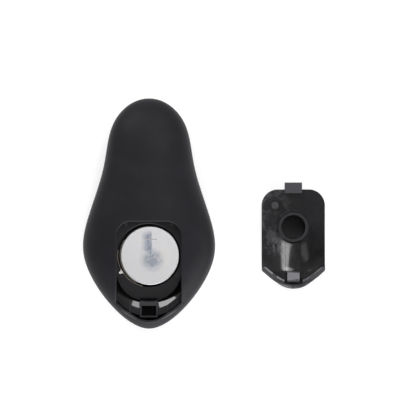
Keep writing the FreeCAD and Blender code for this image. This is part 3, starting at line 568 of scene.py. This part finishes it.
@dataclass(frozen=True)
class DoorPlastic:
    """Black plastic of the battery door: wavy and part glossy inside, matte outside, with painted
    light and shade in places.
    """

    name: str = "door_plastic"
    colour: Colour = (0.0090, 0.0090, 0.0104)
    clouded: Colour = (0.085, 0.085, 0.090)
    # painted light: the upper end of the inner face is lighter
    upper: Colour = (0.0145, 0.0145, 0.0160)
    # painted shade: the lower right of the inner face is darker
    painted_shade: Colour = (0.0025, 0.0025, 0.0030)
    skin: Colour = (0.0108, 0.0104, 0.0132)
    # painted light: the pull tab is lighter than the rest of the door
    tab_painted_light: Colour = (0.052, 0.052, 0.058)
    # painted light: the top of the latch is light grey
    latch_painted_light: Colour = (0.150, 0.150, 0.162)
    # painted light: the top face of the tube is lighter
    ring: Colour = (0.024, 0.024, 0.027)
    # painted light: the top band of the lip is lighter
    lip: Colour = (0.054, 0.054, 0.059)
    # painted highlight: the bright line along the lip's bead
    bead: Colour = (0.200, 0.200, 0.206)
    # painted light: the bore's floor is lighter on its lower left side
    floor: Colour = (0.026, 0.026, 0.028)
    polish: float = 0.10
    matte: float = 0.46
    # painted shade: metallic over the dark base darkens the bore
    bore_painted_shade: float = 0.4
    wave: float = 0.30
    swirl_size: float = 4.2
    ripple_size: float = 1.1
    grain: float = 0.16
    lean: float = 5.5
    bore_edge: float = 4.1
    ring_edge: Span = (5.4, 5.2)
    tube_from_centre: float = 3.05
    tube_top: float = 1.35
    tube_foot: Span = (5.7, 6.4)
    tab_from_centre: float = 14.5
    tab_half: float = 3.0
    latch_from_centre: Span = (-14.45, -12.3)
    latch_half: float = 2.2
    latch_above_lip: Span = (0.8, 1.2)
    lip_top: float = 3.43
    top_band: Span = (-0.3, -0.1)
    lip_start: Span = (-6.0, -7.0)
    bead_above_lip: Span = (0.12, 0.25)
    ejector: tuple[float, float, float] = (-6.2, 1.2, 11.9)
    ejector_radius: float = 1.3
    gate: Span = (0.0, -5.0)
    gate_fade: Span = (9.0, 3.0)
    mottle: Span = (-5.0, -4.2)
    mottle_fade: Span = (6.0, 2.0)
    cloud_left: Span = (1.5, -4.0)
    cloud_low: Span = (-9.0, -3.0)
    upper_start: Span = (-1.0, 6.0)
    hollow_right: Span = (0.5, 5.0)
    hollow_low: Span = (-2.0, -6.5)
    floor_fade: Span = (-1.5, 3.5)
    gloss_slant: float = 0.15
    gloss_left: Span = (3.5, -0.5)
    gloss_right: Span = (6.5, 4.5)
    gloss_end: float = -12.1
    gloss_fade: float = 0.3

    def paint(self) -> bpy.types.Material:
        """Builds the material.

        Returns:
            The finished material.
        """
        paint = Paint(self.name)
        spot = self._spot(paint)
        areas = self._areas(spot)
        covered = areas.all()
        inner = 1.0 - covered
        swirl = paint.noise(self.swirl_size, detail=4.0, roughness=0.6, distortion=0.8)
        ripple = paint.noise(
            self.ripple_size, detail=2.0, stretch=(1.0, 0.45, 1.0), distortion=0.8
        )
        grain = paint.cells(self.grain)
        marks = self._marks(spot)
        near_gate = distance(spot.x, spot.y, self.gate).step(*self.gate_fade)
        flow = swirl * 0.7 + ripple * (near_gate * 0.35 + 0.15)
        # painted shade on the lower right of the inner face
        painted_shade = spot.x.step(*self.hollow_right) * spot.y.step(*self.hollow_low) * inner
        # painted highlight along the bead, stronger on the left
        bead = spot.height.step(*shifted(self.bead_above_lip, self.lip_top)) * areas.lip
        bead = bead * swirl.step(0.35, 0.55) * (spot.x.step(3.0, -3.0) * 0.75 + 0.25)
        # painted light on the lower left of the bore's floor
        slope = spot.x * -0.5 - (spot.y - self.tube_from_centre) * 0.7
        floor = areas.bore * slope.step(*self.floor_fade)
        paint.set(
            Base_Color=paint.layered(
                self.colour,
                # painted light on the upper end of the inner face
                (spot.y.step(*self.upper_start), self.upper),
                (painted_shade, self.painted_shade),
                (areas.outside, self.skin),
                (self._cloud(spot, swirl, ripple, marks) * inner, self.clouded),
                # painted light on the pull tab
                (areas.tab, self.tab_painted_light),
                # painted light on the top of the latch
                (areas.latch, self.latch_painted_light),
                # painted light on the top band of the lip
                (areas.lip, self.lip),
                (bead, self.bead),
                (floor, self.floor),
                # painted light on the top face of the tube
                (areas.ring, self.ring),
            ),
            Roughness=swirl * 0.10 + (self.matte - 0.05),
            # painted shade in the bore, apart from its painted-light floor
            Metallic=(areas.bore - floor).most(0.0) * self.bore_painted_shade,
            Specular_IOR_Level=0.14,
            Coat_Weight=self._gloss(spot) * inner * swirl.step(0.30, 0.48),
            Coat_Roughness=self.polish,
        )
        paint.bump((flow + marks * 0.5) * inner + grain * covered * 0.08, self.wave)
        return paint.material

    def _spot(self, paint: Paint) -> DoorSpot:
        """Reads where the shaded point lies on the leaning door.

        Args:
            paint: The material under construction.

        Returns:
            Its place from the middle of the door.
        """
        low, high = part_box("battery_door")
        centre = (low + high) / 2 * TO_MM
        turn = math.radians(self.lean)
        x, y, z = (paint.along(axis) - centre[axis.value] for axis in Axis)
        along = y * math.cos(turn) + z * math.sin(turn)
        height = z * math.cos(turn) - y * math.sin(turn)
        from_tube = distance(x, along, (0.0, self.tube_from_centre))
        return DoorSpot(x, along, height, paint.facing(Axis.Z), from_tube)

    def _areas(self, spot: DoorSpot) -> DoorAreas:
        """Masks the outer skin and the areas painted lighter or darker as painted light and
        shade.

        Args:
            spot: Where the point lies.

        Returns:
            The masks.
        """
        outside = spot.up.step(-0.2, -0.5)
        bore = spot.from_tube.below(self.bore_edge, SOFT_EDGE) * (1.0 - outside)
        ring = spot.from_tube.step(*self.ring_edge) * (1.0 - bore) * spot.up.step(0.9, 0.97)
        ring = ring * spot.height.step(*shifted(self.top_band, self.tube_top))
        tab = spot.y.step(self.tab_from_centre - FINE_EDGE, self.tab_from_centre + FINE_EDGE)
        latch = spot.y.between(*self.latch_from_centre, SOFT_EDGE)
        latch = latch * spot.x.within(self.latch_half, SOFT_EDGE)
        latch = latch * spot.height.step(*shifted(self.latch_above_lip, self.lip_top))
        lip = spot.height.step(*shifted(self.top_band, self.lip_top)) * (1.0 - latch)
        return DoorAreas(
            outside=outside,
            bore=bore,
            ring=ring,
            tab=tab * spot.x.within(self.tab_half, SOFT_EDGE),
            latch=latch,
            lip=lip * spot.y.step(*self.lip_start),
        )

    def _gloss(self, spot: DoorSpot) -> Value:
        """Weighs the polish of the inner face, which is strongest on the left below the tube.

        Args:
            spot: Where the point lies.

        Returns:
            A weight between 0 and 1.
        """
        gloss = (spot.x - spot.y * self.gloss_slant).step(*self.gloss_left) * 0.7 + 0.3
        gloss = gloss * spot.x.step(*self.gloss_right) * spot.from_tube.step(*self.tube_foot)
        low, high = self.gloss_end - self.gloss_fade, self.gloss_end + self.gloss_fade
        return gloss * spot.y.step(low, high)

    def _cloud(self, spot: DoorSpot, swirl: Value, ripple: Value, marks: Value) -> Value:
        """Masks the pale flow marks on the left of the inner face.

        Args:
            spot: Where the point lies.
            swirl: The wide flow pattern.
            ripple: The narrow flow pattern.
            marks: Mask of the ejector marks.

        Returns:
            A value between 0 and 1.
        """
        left = spot.x.step(*self.cloud_left) * spot.y.step(*self.cloud_low)
        near = distance(spot.x, spot.y, self.mottle).step(*self.mottle_fade)
        mottled = ripple.step(0.42, 0.60) * near
        cloud = (swirl.step(0.46, 0.66) * 0.5).most(mottled * 0.9)
        return cloud.most(marks * (ripple * 1.2)) * left

    def _marks(self, spot: DoorSpot) -> Value:
        """Masks the two round ejector marks.

        Args:
            spot: Where the point lies.

        Returns:
            1 on the marks and 0 elsewhere.
        """
        across, middle, pitch = self.ejector
        discs = []
        for side in (-0.5, 0.5):
            centre = (across, self.tube_from_centre + middle + side * pitch)
            reach = distance(spot.x, spot.y, centre)
            low, high = self.ejector_radius - SOFT_EDGE, self.ejector_radius + SOFT_EDGE
            discs.append(reach.step(high, low))
        return discs[0].most(discs[1])


@dataclass(frozen=True)
class CellSteel:
    """Bright pressed steel of the coin cell, with a bluish painted reflection on its face and
    fine scratches.
    """

    name: str = "cell_steel"
    colour: Colour = (0.80, 0.80, 0.82)
    # painted reflection: the bluish tint laid on the face as a streak, a blot and a line
    painted_reflection: Colour = (0.29, 0.33, 0.42)
    # painted shade: the can's rounded rim is darker
    edge: Colour = (0.45, 0.45, 0.46)
    edge_share: float = 0.8
    warm: Colour = (0.86, 0.82, 0.78)
    warm_share: float = 0.6
    roughness: float = 0.19
    depth: float = 0.0035
    centre_x: float = 0.4
    rim: float = 9.85
    rim_fade: float = 0.15
    streak_left: Span = (-3.6, 0.1)
    streak_right: Span = (0.7, 0.35)
    streak_low: Span = (0.0, 2.5)
    streak_high: Span = (9.0, 6.5)
    reflection_blot: Span = (0.7, -1.5)
    reflection_blot_fade: Span = (5.0, 1.0)
    line_x: float = 0.1
    line_width: Span = (0.9, 0.1)
    line_low: Span = (-6.5, -1.0)
    line_high: Span = (6.0, 2.0)

    def paint(self) -> bpy.types.Material:
        """Builds the material.

        Returns:
            The finished material.
        """
        paint = Paint(self.name)
        x, y = paint.along(Axis.X) - self.centre_x, paint.along(Axis.Y)
        # painted reflection on the upper face
        painted_reflection = self._painted_reflection(paint, x, y)
        scratch = paint.noise(0.5, detail=4.0, stretch=(1.0, 0.06, 1.0))
        cross = paint.noise(0.4, detail=3.0, stretch=(0.08, 1.0, 1.0))
        wipe = paint.noise(6.0, detail=2.0).step(0.45, 0.7)
        # painted shade on the rounded rim
        rim = distance(x, y).step(self.rim - self.rim_fade, self.rim)
        paint.set(
            Base_Color=paint.layered(
                self.colour,
                (wipe * self.warm_share, self.warm),
                (painted_reflection, self.painted_reflection),
                (rim * self.edge_share, self.edge),
            ),
            Metallic=1.0,
            Roughness=painted_reflection * 0.08 + self.roughness + scratch * 0.06 + rim * 0.25,
        )
        paint.bump(scratch * 0.5 + cross * 0.5, self.depth)
        return paint.material

    def _painted_reflection(self, paint: Paint, x: Value, y: Value) -> Value:
        """Masks the bluish painted reflection on the upper face: a streak, a blot and a thin
        line.

        Args:
            paint: The material under construction.
            x: Place across the cell, from its middle.
            y: Place along the cell, from its middle.

        Returns:
            A value between 0 and 1.
        """
        cloud = paint.noise(1.8, detail=4.0, roughness=0.6, distortion=0.2)
        streak = x.step(*self.streak_left) * x.step(*self.streak_right)
        streak = streak * y.step(*self.streak_low) * y.step(*self.streak_high)
        reflection_blot = distance(x, y, self.reflection_blot).step(*self.reflection_blot_fade)
        line = abs(x - self.line_x).step(*self.line_width)
        line = line * y.step(*self.line_low) * y.step(*self.line_high)
        painted_reflection = streak.most(reflection_blot * (cloud * 0.9 + 0.25)).most(line * 0.8)
        return (painted_reflection * (cloud + 0.45)).least(1.0) * paint.facing(Axis.Z).step(0.5, 0.9)


@dataclass(frozen=True)
class PlainMetal:
    """Small sheet, wire or plated metal with rolling lines and slight tarnish."""

    name: str
    colour: Colour
    tarnish: Colour
    roughness: float = 0.22
    grain: float = 0.25
    depth: float = 0.004

    def paint(self) -> bpy.types.Material:
        """Builds the material.

        Returns:
            The finished material.
        """
        paint = Paint(self.name)
        cloud = paint.noise(self.grain * 8.0, detail=3.0)
        lines = paint.noise(self.grain, detail=3.0, stretch=(1.0, 1.0, 0.12))
        sheet = paint.blend(cloud.step(0.48, 0.75) * 0.7, self.colour, self.tarnish)
        paint.set(
            Base_Color=self._marked(paint, sheet),
            Metallic=1.0,
            Roughness=cloud * 0.10 + self.roughness + lines * 0.05,
        )
        paint.bump(lines, self.depth)
        return paint.material

    def _marked(self, paint: Paint, sheet: bpy.types.NodeSocket) -> bpy.types.NodeSocket:
        """Changes the sheet's colour in places; plain metal has none."""
        return sheet


@dataclass(frozen=True)
class ContactMetal(PlainMetal):
    """Spring sheet of the contacts: dull leaves and a flag painted near white: painted highlight.
    """

    name: str = "contact_metal"
    colour: Colour = (0.24, 0.22, 0.19)
    tarnish: Colour = (0.11, 0.09, 0.07)
    roughness: float = 0.20
    # painted highlight: colour of the flag
    flag: Colour = (0.88, 0.86, 0.82)
    flag_angle: float = 211.0
    flag_side: Span = (0.9, 0.7)
    flag_start: float = 10.5

    def _marked(self, paint: Paint, sheet: bpy.types.NodeSocket) -> bpy.types.NodeSocket:
        """Paints a highlight on the flag, which points away from the pocket's axis.

        Args:
            paint: The material under construction.
            sheet: Colour of the leaves.

        Returns:
            The socket of the colour with the flag.
        """
        turn = math.radians(self.flag_angle)
        x, y = paint.along(Axis.X), paint.along(Axis.Y)
        out = x * math.cos(turn) + y * math.sin(turn)
        side = y * math.cos(turn) - x * math.sin(turn)
        # painted highlight over the flag
        flag = out.above(self.flag_start, SOFT_EDGE) * abs(side).step(*self.flag_side)
        return paint.blend(flag, sheet, self.flag)


@dataclass(frozen=True)
class PlainPlastic:
    """Small moulded or cast piece with a fine surface."""

    name: str
    colour: Colour
    accent: Colour
    roughness: float = 0.4
    grain: float = 0.2
    depth: float = 0.006
    coat: float = 0.0

    def paint(self) -> bpy.types.Material:
        """Builds the material.

        Returns:
            The finished material.
        """
        paint = Paint(self.name)
        cloud = paint.noise(self.grain * 12.0, detail=3.0)
        fine = paint.noise(self.grain, detail=3.0)
        paint.set(
            Base_Color=paint.blend(cloud.step(0.4, 0.7), self.colour, self.accent),
            Roughness=cloud * 0.12 + self.roughness - 0.06,
            Specular_IOR_Level=0.45,
            Coat_Weight=self.coat,
        )
        paint.bump(fine, self.depth)
        return paint.material


@dataclass(frozen=True)
class BoardLaminate:
    """Green board with solder mask, copper tracks under it and a light edge."""

    name: str = "board_laminate"
    mask: Colour = (0.010, 0.085, 0.035)
    track: Colour = (0.020, 0.135, 0.055)
    edge: Colour = (0.36, 0.33, 0.16)
    pitch: float = 1.6
    run: float = 8.0
    bend_size: float = 14.0
    bend: float = 3.0

    def paint(self) -> bpy.types.Material:
        """Builds the material.

        Returns:
            The finished material.
        """
        paint = Paint(self.name)
        x, y, up = paint.along(Axis.X), paint.along(Axis.Y), paint.facing(Axis.Z)
        bend = paint.noise(self.bend_size, detail=1.0) * self.bend
        across = ((x + bend) * (math.tau / self.pitch)).sine().step(0.45, 0.6)
        length = ((y - bend) * (math.tau / self.run)).sine().step(-0.2, 0.0)
        tracks = across * length
        colour = paint.blend(tracks, self.mask, self.track)
        paint.set(
            Base_Color=paint.blend(abs(up).step(0.7, 0.3), colour, self.edge),
            Roughness=paint.noise(1.0) * 0.1 + 0.28,
            Coat_Weight=0.3,
        )
        paint.bump(tracks, 0.03)
        return paint.material


@dataclass
class CoinCell:
    """The coin cell: its place, and the mark raised on its can."""

    mark_size: float = 4.8
    mark_bar: float = 0.32
    mark_rise: float = 0.03
    mark_place: float = 5.5
    centre: Vector = field(default_factory=Vector)
    top: float = 0.0

    def measure(self) -> None:
        """Reads the cell's place from the frame."""
        low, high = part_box("cell_can")
        self.centre = (low + high) / 2
        self.top = high.z

    def build_mark(self, finish: bpy.types.Material) -> bpy.types.Object:
        """Models the raised plus sign near the can's edge.

        Args:
            finish: The mark's material.

        Returns:
            The mark, with its place in its mesh.
        """
        deselect_all()
        bpy.ops.mesh.primitive_cube_add(size=self.mark_bar * MM)
        mark = bpy.context.object
        mark.name = "cell_plus_mark"
        bpy.ops.object.mode_set(mode="EDIT")
        reach = (self.mark_size - self.mark_bar) / 2 * MM
        across, along = Vector((1, 0, 0)), Vector((0, 1, 0))
        for direction in (across, -across, along, -along):
            select_end(mark, direction)
            move = {"value": direction * reach}
            bpy.ops.mesh.extrude_region_move(TRANSFORM_OT_translate=move)
        bpy.ops.mesh.select_all(action="SELECT")
        flat = self.mark_rise * 2 / self.mark_bar
        bpy.ops.transform.resize(value=(1.0, 1.0, flat))
        bpy.ops.object.mode_set(mode="OBJECT")
        bevel = mark.modifiers.new("edge", "BEVEL")
        bevel.width = self.mark_rise * 0.6 * MM
        bevel.segments = 2
        bpy.ops.object.modifier_apply(modifier=bevel.name)
        place(mark, Vector((self.centre.x, self.centre.y + self.mark_place * MM, self.top)))
        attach(mark, "coin_cell")
        dress([mark], finish)
        return mark


def deselect_all() -> None:
    """Deselects everything, so an operator acts only on what is made next."""
    bpy.ops.object.select_all(action="DESELECT")


def select_end(piece: bpy.types.Object, direction: Vector) -> None:
    """Selects the face that ends the middle line in a direction, in edit mode.

    Args:
        piece: The mesh being edited.
        direction: A unit vector.
    """
    bpy.ops.mesh.select_all(action="DESELECT")
    bpy.ops.object.mode_set(mode="OBJECT")
    for polygon in piece.data.polygons:
        aside = polygon.center - direction * polygon.center.dot(direction)
        polygon.select = aside.length < ON_LINE and polygon.normal.dot(direction) > 0.9
    bpy.ops.object.mode_set(mode="EDIT")


def place(piece: bpy.types.Object, where: Vector) -> None:
    """Moves a piece and puts its place in its mesh.

    Args:
        piece: The piece, selected and active.
        where: Where its own origin goes.
    """
    deselect_all()
    piece.select_set(True)
    bpy.context.view_layer.objects.active = piece
    piece.location = where
    bpy.ops.object.transform_apply(location=True, rotation=True, scale=True)


def dress(pieces: Iterable[bpy.types.Object], finish: bpy.types.Material) -> None:
    """Gives pieces one finish in place of what they had.

    Args:
        pieces: The pieces.
        finish: Their new material.
    """
    for piece in pieces:
        piece.data.materials.clear()
        piece.data.materials.append(finish)


@dataclass
class Trigger:
    """All of the frame's nodes and the finish of each."""

    nodes: Mapping[str, bpy.types.Object]
    cell: CoinCell = field(default_factory=CoinCell)
    skirt_inset: float = 0.5
    opening_floor: float = 5.0

    def opening(self) -> tuple[float, float, float]:
        """Half width, upper edge and floor of the door's opening, from the tray's box."""
        low, high = (corner * TO_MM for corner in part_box("battery_tray"))
        inset = self.skirt_inset
        return (high.x - inset, high.y - inset, low.z + self.opening_floor)

    def finishes(self) -> dict[str, Any]:
        """Lists the finishes.

        Returns:
            Each finish by the material slot that it stands for.
        """
        finishes = (
            ShellPlastic(opening=self.opening()),
            TrayPlastic(),
            DoorPlastic(),
            CellSteel(),
            PlainPlastic("seal_plastic", (0.11, 0.11, 0.12), (0.15, 0.15, 0.16)),
            ContactMetal(),
            BoardLaminate(),
            PlainMetal("screw_steel", (0.62, 0.62, 0.64), (0.42, 0.41, 0.40)),
            ShellPlastic("button_plastic", (0.03, 0.03, 0.033), (0.04, 0.04, 0.043)),
            PlainPlastic("switch_plastic", (0.02, 0.02, 0.02), (0.03, 0.03, 0.03)),
            PlainMetal("cover_steel", (0.72, 0.72, 0.73), (0.5, 0.5, 0.5), roughness=0.3),
            PlainPlastic("plunger_plastic", (0.03, 0.03, 0.03), (0.05, 0.05, 0.05)),
            PlainPlastic(
                "window_plastic", (0.60, 0.60, 0.60), (0.70, 0.70, 0.70), roughness=0.15, coat=0.5
            ),
            PlainPlastic("led_plastic", (0.80, 0.80, 0.72), (0.85, 0.84, 0.70), roughness=0.2),
            PlainPlastic("chip_plastic", (0.03, 0.03, 0.03), (0.04, 0.04, 0.04), roughness=0.5),
            PlainPlastic(
                "capacitor_ceramic", (0.40, 0.27, 0.16), (0.46, 0.33, 0.22), roughness=0.35
            ),
            PlainMetal("antenna_wire", (0.72, 0.38, 0.22), (0.45, 0.22, 0.12)),
        )
        return {finish.name: finish for finish in finishes}

    def dress_all(self, slots: Mapping[str, str]) -> dict[str, bpy.types.Material]:
        """Gives each node its finish.

        Args:
            slots: The material slot of each node.

        Returns:
            The materials by slot.
        """
        made = {slot: finish.paint() for slot, finish in self.finishes().items()}
        for name, node in self.nodes.items():
            dress([node], made[slots[name]])
            LOG.info("dressed %s with %s", name, slots[name])
        return made

    def build(self, slots: Mapping[str, str]) -> None:
        """Dresses the nodes and adds the cell's mark.

        Args:
            slots: The material slot of each node.
        """
        made = self.dress_all(slots)
        self.cell.measure()
        mark_steel = PlainMetal("mark_steel", (0.60, 0.60, 0.61), (0.46, 0.46, 0.48)).paint()
        mark = self.cell.build_mark(mark_steel)
        LOG.info("made %s", mark.name)


@dataclass(frozen=True)
class Softbox:
    """A rectangular lamp that looks at a point of the object."""

    name: str
    azimuth: float
    zenith: float
    distance: float
    width: float
    height: float
    radiance: float
    target: tuple[float, float, float] = (0.02, 0.0, 0.01)

    def hang(self) -> bpy.types.Object:
        """Makes the lamp.

        Returns:
            The lamp's object.
        """
        data = bpy.data.lights.new(self.name, "AREA")
        data.shape = "RECTANGLE"
        data.size, data.size_y = self.width, self.height
        data.energy = self.radiance * math.pi * self.width * self.height
        lamp = bpy.data.objects.new(self.name, data)
        bpy.context.scene.collection.objects.link(lamp)
        turn, lean = math.radians(self.azimuth), math.radians(self.zenith)
        level = math.sin(lean)
        away = Vector((math.cos(turn) * level, math.sin(turn) * level, math.cos(lean)))
        lamp.location = Vector(self.target) + away * self.distance
        lamp.rotation_euler = away.to_track_quat("Z", "Y").to_euler()
        lamp.visible_camera = False
        return lamp


@dataclass(frozen=True)
class Studio:
    """Camera, lamps, world and floor."""

    view_width: float = 0.142
    view_centre: tuple[float, float] = (0.0202, 0.0162)
    focus_height: float = 0.0143
    lens: float = 400.0
    sensor: float = 36.0
    world_top: float = 0.15
    world_side: float = 0.88
    world_fade: Span = (0.1, 0.75)
    floor_size: float = 4.0
    floor_drop: float = 0.00002
    floor_colour: Colour = (0.40, 0.40, 0.40)
    floor_glow: float = 0.68
    lamps: tuple[Softbox, ...] = (
        # name, azimuth, zenith, distance, width, height, radiance and target
        Softbox("overhead", 90.0, 0.0, 0.95, 0.24, 0.24, 0.70, (0.0, 0.0, 0.0)),
        Softbox("key_right", 73.0, 47.0, 0.55, 0.10, 0.26, 7.0),
        Softbox("key_inner", 79.0, 22.5, 0.54, 0.070, 0.32, 7.5, (0.102, -0.003, 0.0)),
        Softbox("key_cross", 116.0, 15.0, 0.54, 0.045, 0.17, 3.5, (0.011, 0.014, 0.0)),
        Softbox("key_left", 123.0, 55.0, 0.55, 0.22, 0.20, 8.5),
        Softbox("nose_fill", 281.0, 72.0, 0.60, 0.90, 0.36, 6.6),
        Softbox("right_fill", 345.0, 72.0, 0.60, 0.30, 0.24, 3.0),
    )

    def aim(self) -> bpy.types.Object:
        """Makes the camera, straight above the object.

        Returns:
            The camera's object.
        """
        data = bpy.data.cameras.new("view")
        data.lens, data.sensor_width = self.lens, self.sensor
        camera = bpy.data.objects.new("view", data)
        bpy.context.scene.collection.objects.link(camera)
        away = self.view_width * self.lens / self.sensor
        camera.location = (*self.view_centre, self.focus_height + away)
        camera.rotation_euler = (0.0, 0.0, 0.0)
        bpy.context.scene.camera = camera
        return camera

    def light(self) -> None:
        """Hangs the lamps."""
        for lamp in self.lamps:
            lamp.hang()
            LOG.info("hung %s", lamp.name)

    def surround(self) -> None:
        """Sets the world, which is bright at the sides and dim at the top."""
        world = bpy.data.worlds.new("studio")
        bpy.context.scene.world = world
        world.use_nodes = True
        nodes, links = world.node_tree.nodes, world.node_tree.links
        nodes.clear()
        place, height = nodes.new("ShaderNodeTexCoord"), nodes.new("ShaderNodeSeparateXYZ")
        links.new(place.outputs["Generated"], height.inputs[0])
        fade = nodes.new("ShaderNodeMapRange")
        fade.interpolation_type = "SMOOTHSTEP"
        links.new(height.outputs[2], fade.inputs["Value"])
        fade.inputs["From Min"].default_value = self.world_fade[0]
        fade.inputs["From Max"].default_value = self.world_fade[1]
        fade.inputs["To Min"].default_value = self.world_side
        fade.inputs["To Max"].default_value = self.world_top
        room, out = nodes.new("ShaderNodeBackground"), nodes.new("ShaderNodeOutputWorld")
        room.inputs["Color"].default_value = (1.0, 1.0, 1.0, 1.0)
        links.new(fade.outputs[0], room.inputs["Strength"])
        links.new(room.outputs[0], out.inputs["Surface"])

    def lay_floor(self) -> bpy.types.Object:
        """Makes the white floor, which shows the object's faint shadow.

        Returns:
            The floor.
        """
        deselect_all()
        where = (0.0, 0.0, -self.floor_drop)
        bpy.ops.mesh.primitive_plane_add(size=self.floor_size, location=where)
        floor = bpy.context.object
        floor.name = "floor"
        paint = Paint("floor_white")
        paper = paint.noise(0.8, detail=2.0)
        paint.set(
            Base_Color=self.floor_colour,
            Roughness=paper * 0.05 + 0.9,
            Specular_IOR_Level=0.0,
        )
        glow = paint.add("ShaderNodeEmission", {}, {"Strength": self.floor_glow})
        both = paint.add("ShaderNodeAddShader", {}, {0: paint.shader.out(), 1: glow.out()})
        path = paint.add("ShaderNodeLightPath", {}, {})
        shown = path.value("Is Camera Ray").most(path.value("Is Glossy Ray"))
        shown = shown.most(path.value("Is Transmission Ray"))
        shares = {0: shown, 1: paint.shader.out(), 2: both.out()}
        seen = paint.add("ShaderNodeMixShader", {}, shares)
        paint.tree.links.new(seen.out(), paint.output.node.inputs["Surface"])
        dress([floor], paint.material)
        return floor


def main() -> None:
    """Builds the scene in order."""
    logging.basicConfig(level=logging.INFO, format="%(message)s")
    studio = Studio()
    studio.aim()
    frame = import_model()
    slots = {part["node"]: part["material_slot"] for part in frame["record"]["subparts"]}
    Trigger(frame["nodes"]).build(slots)
    studio.lay_floor()
    studio.light()
    studio.surround()
    bpy.context.scene.view_settings.view_transform = "Standard"


if __name__ == "__main__":
    main()
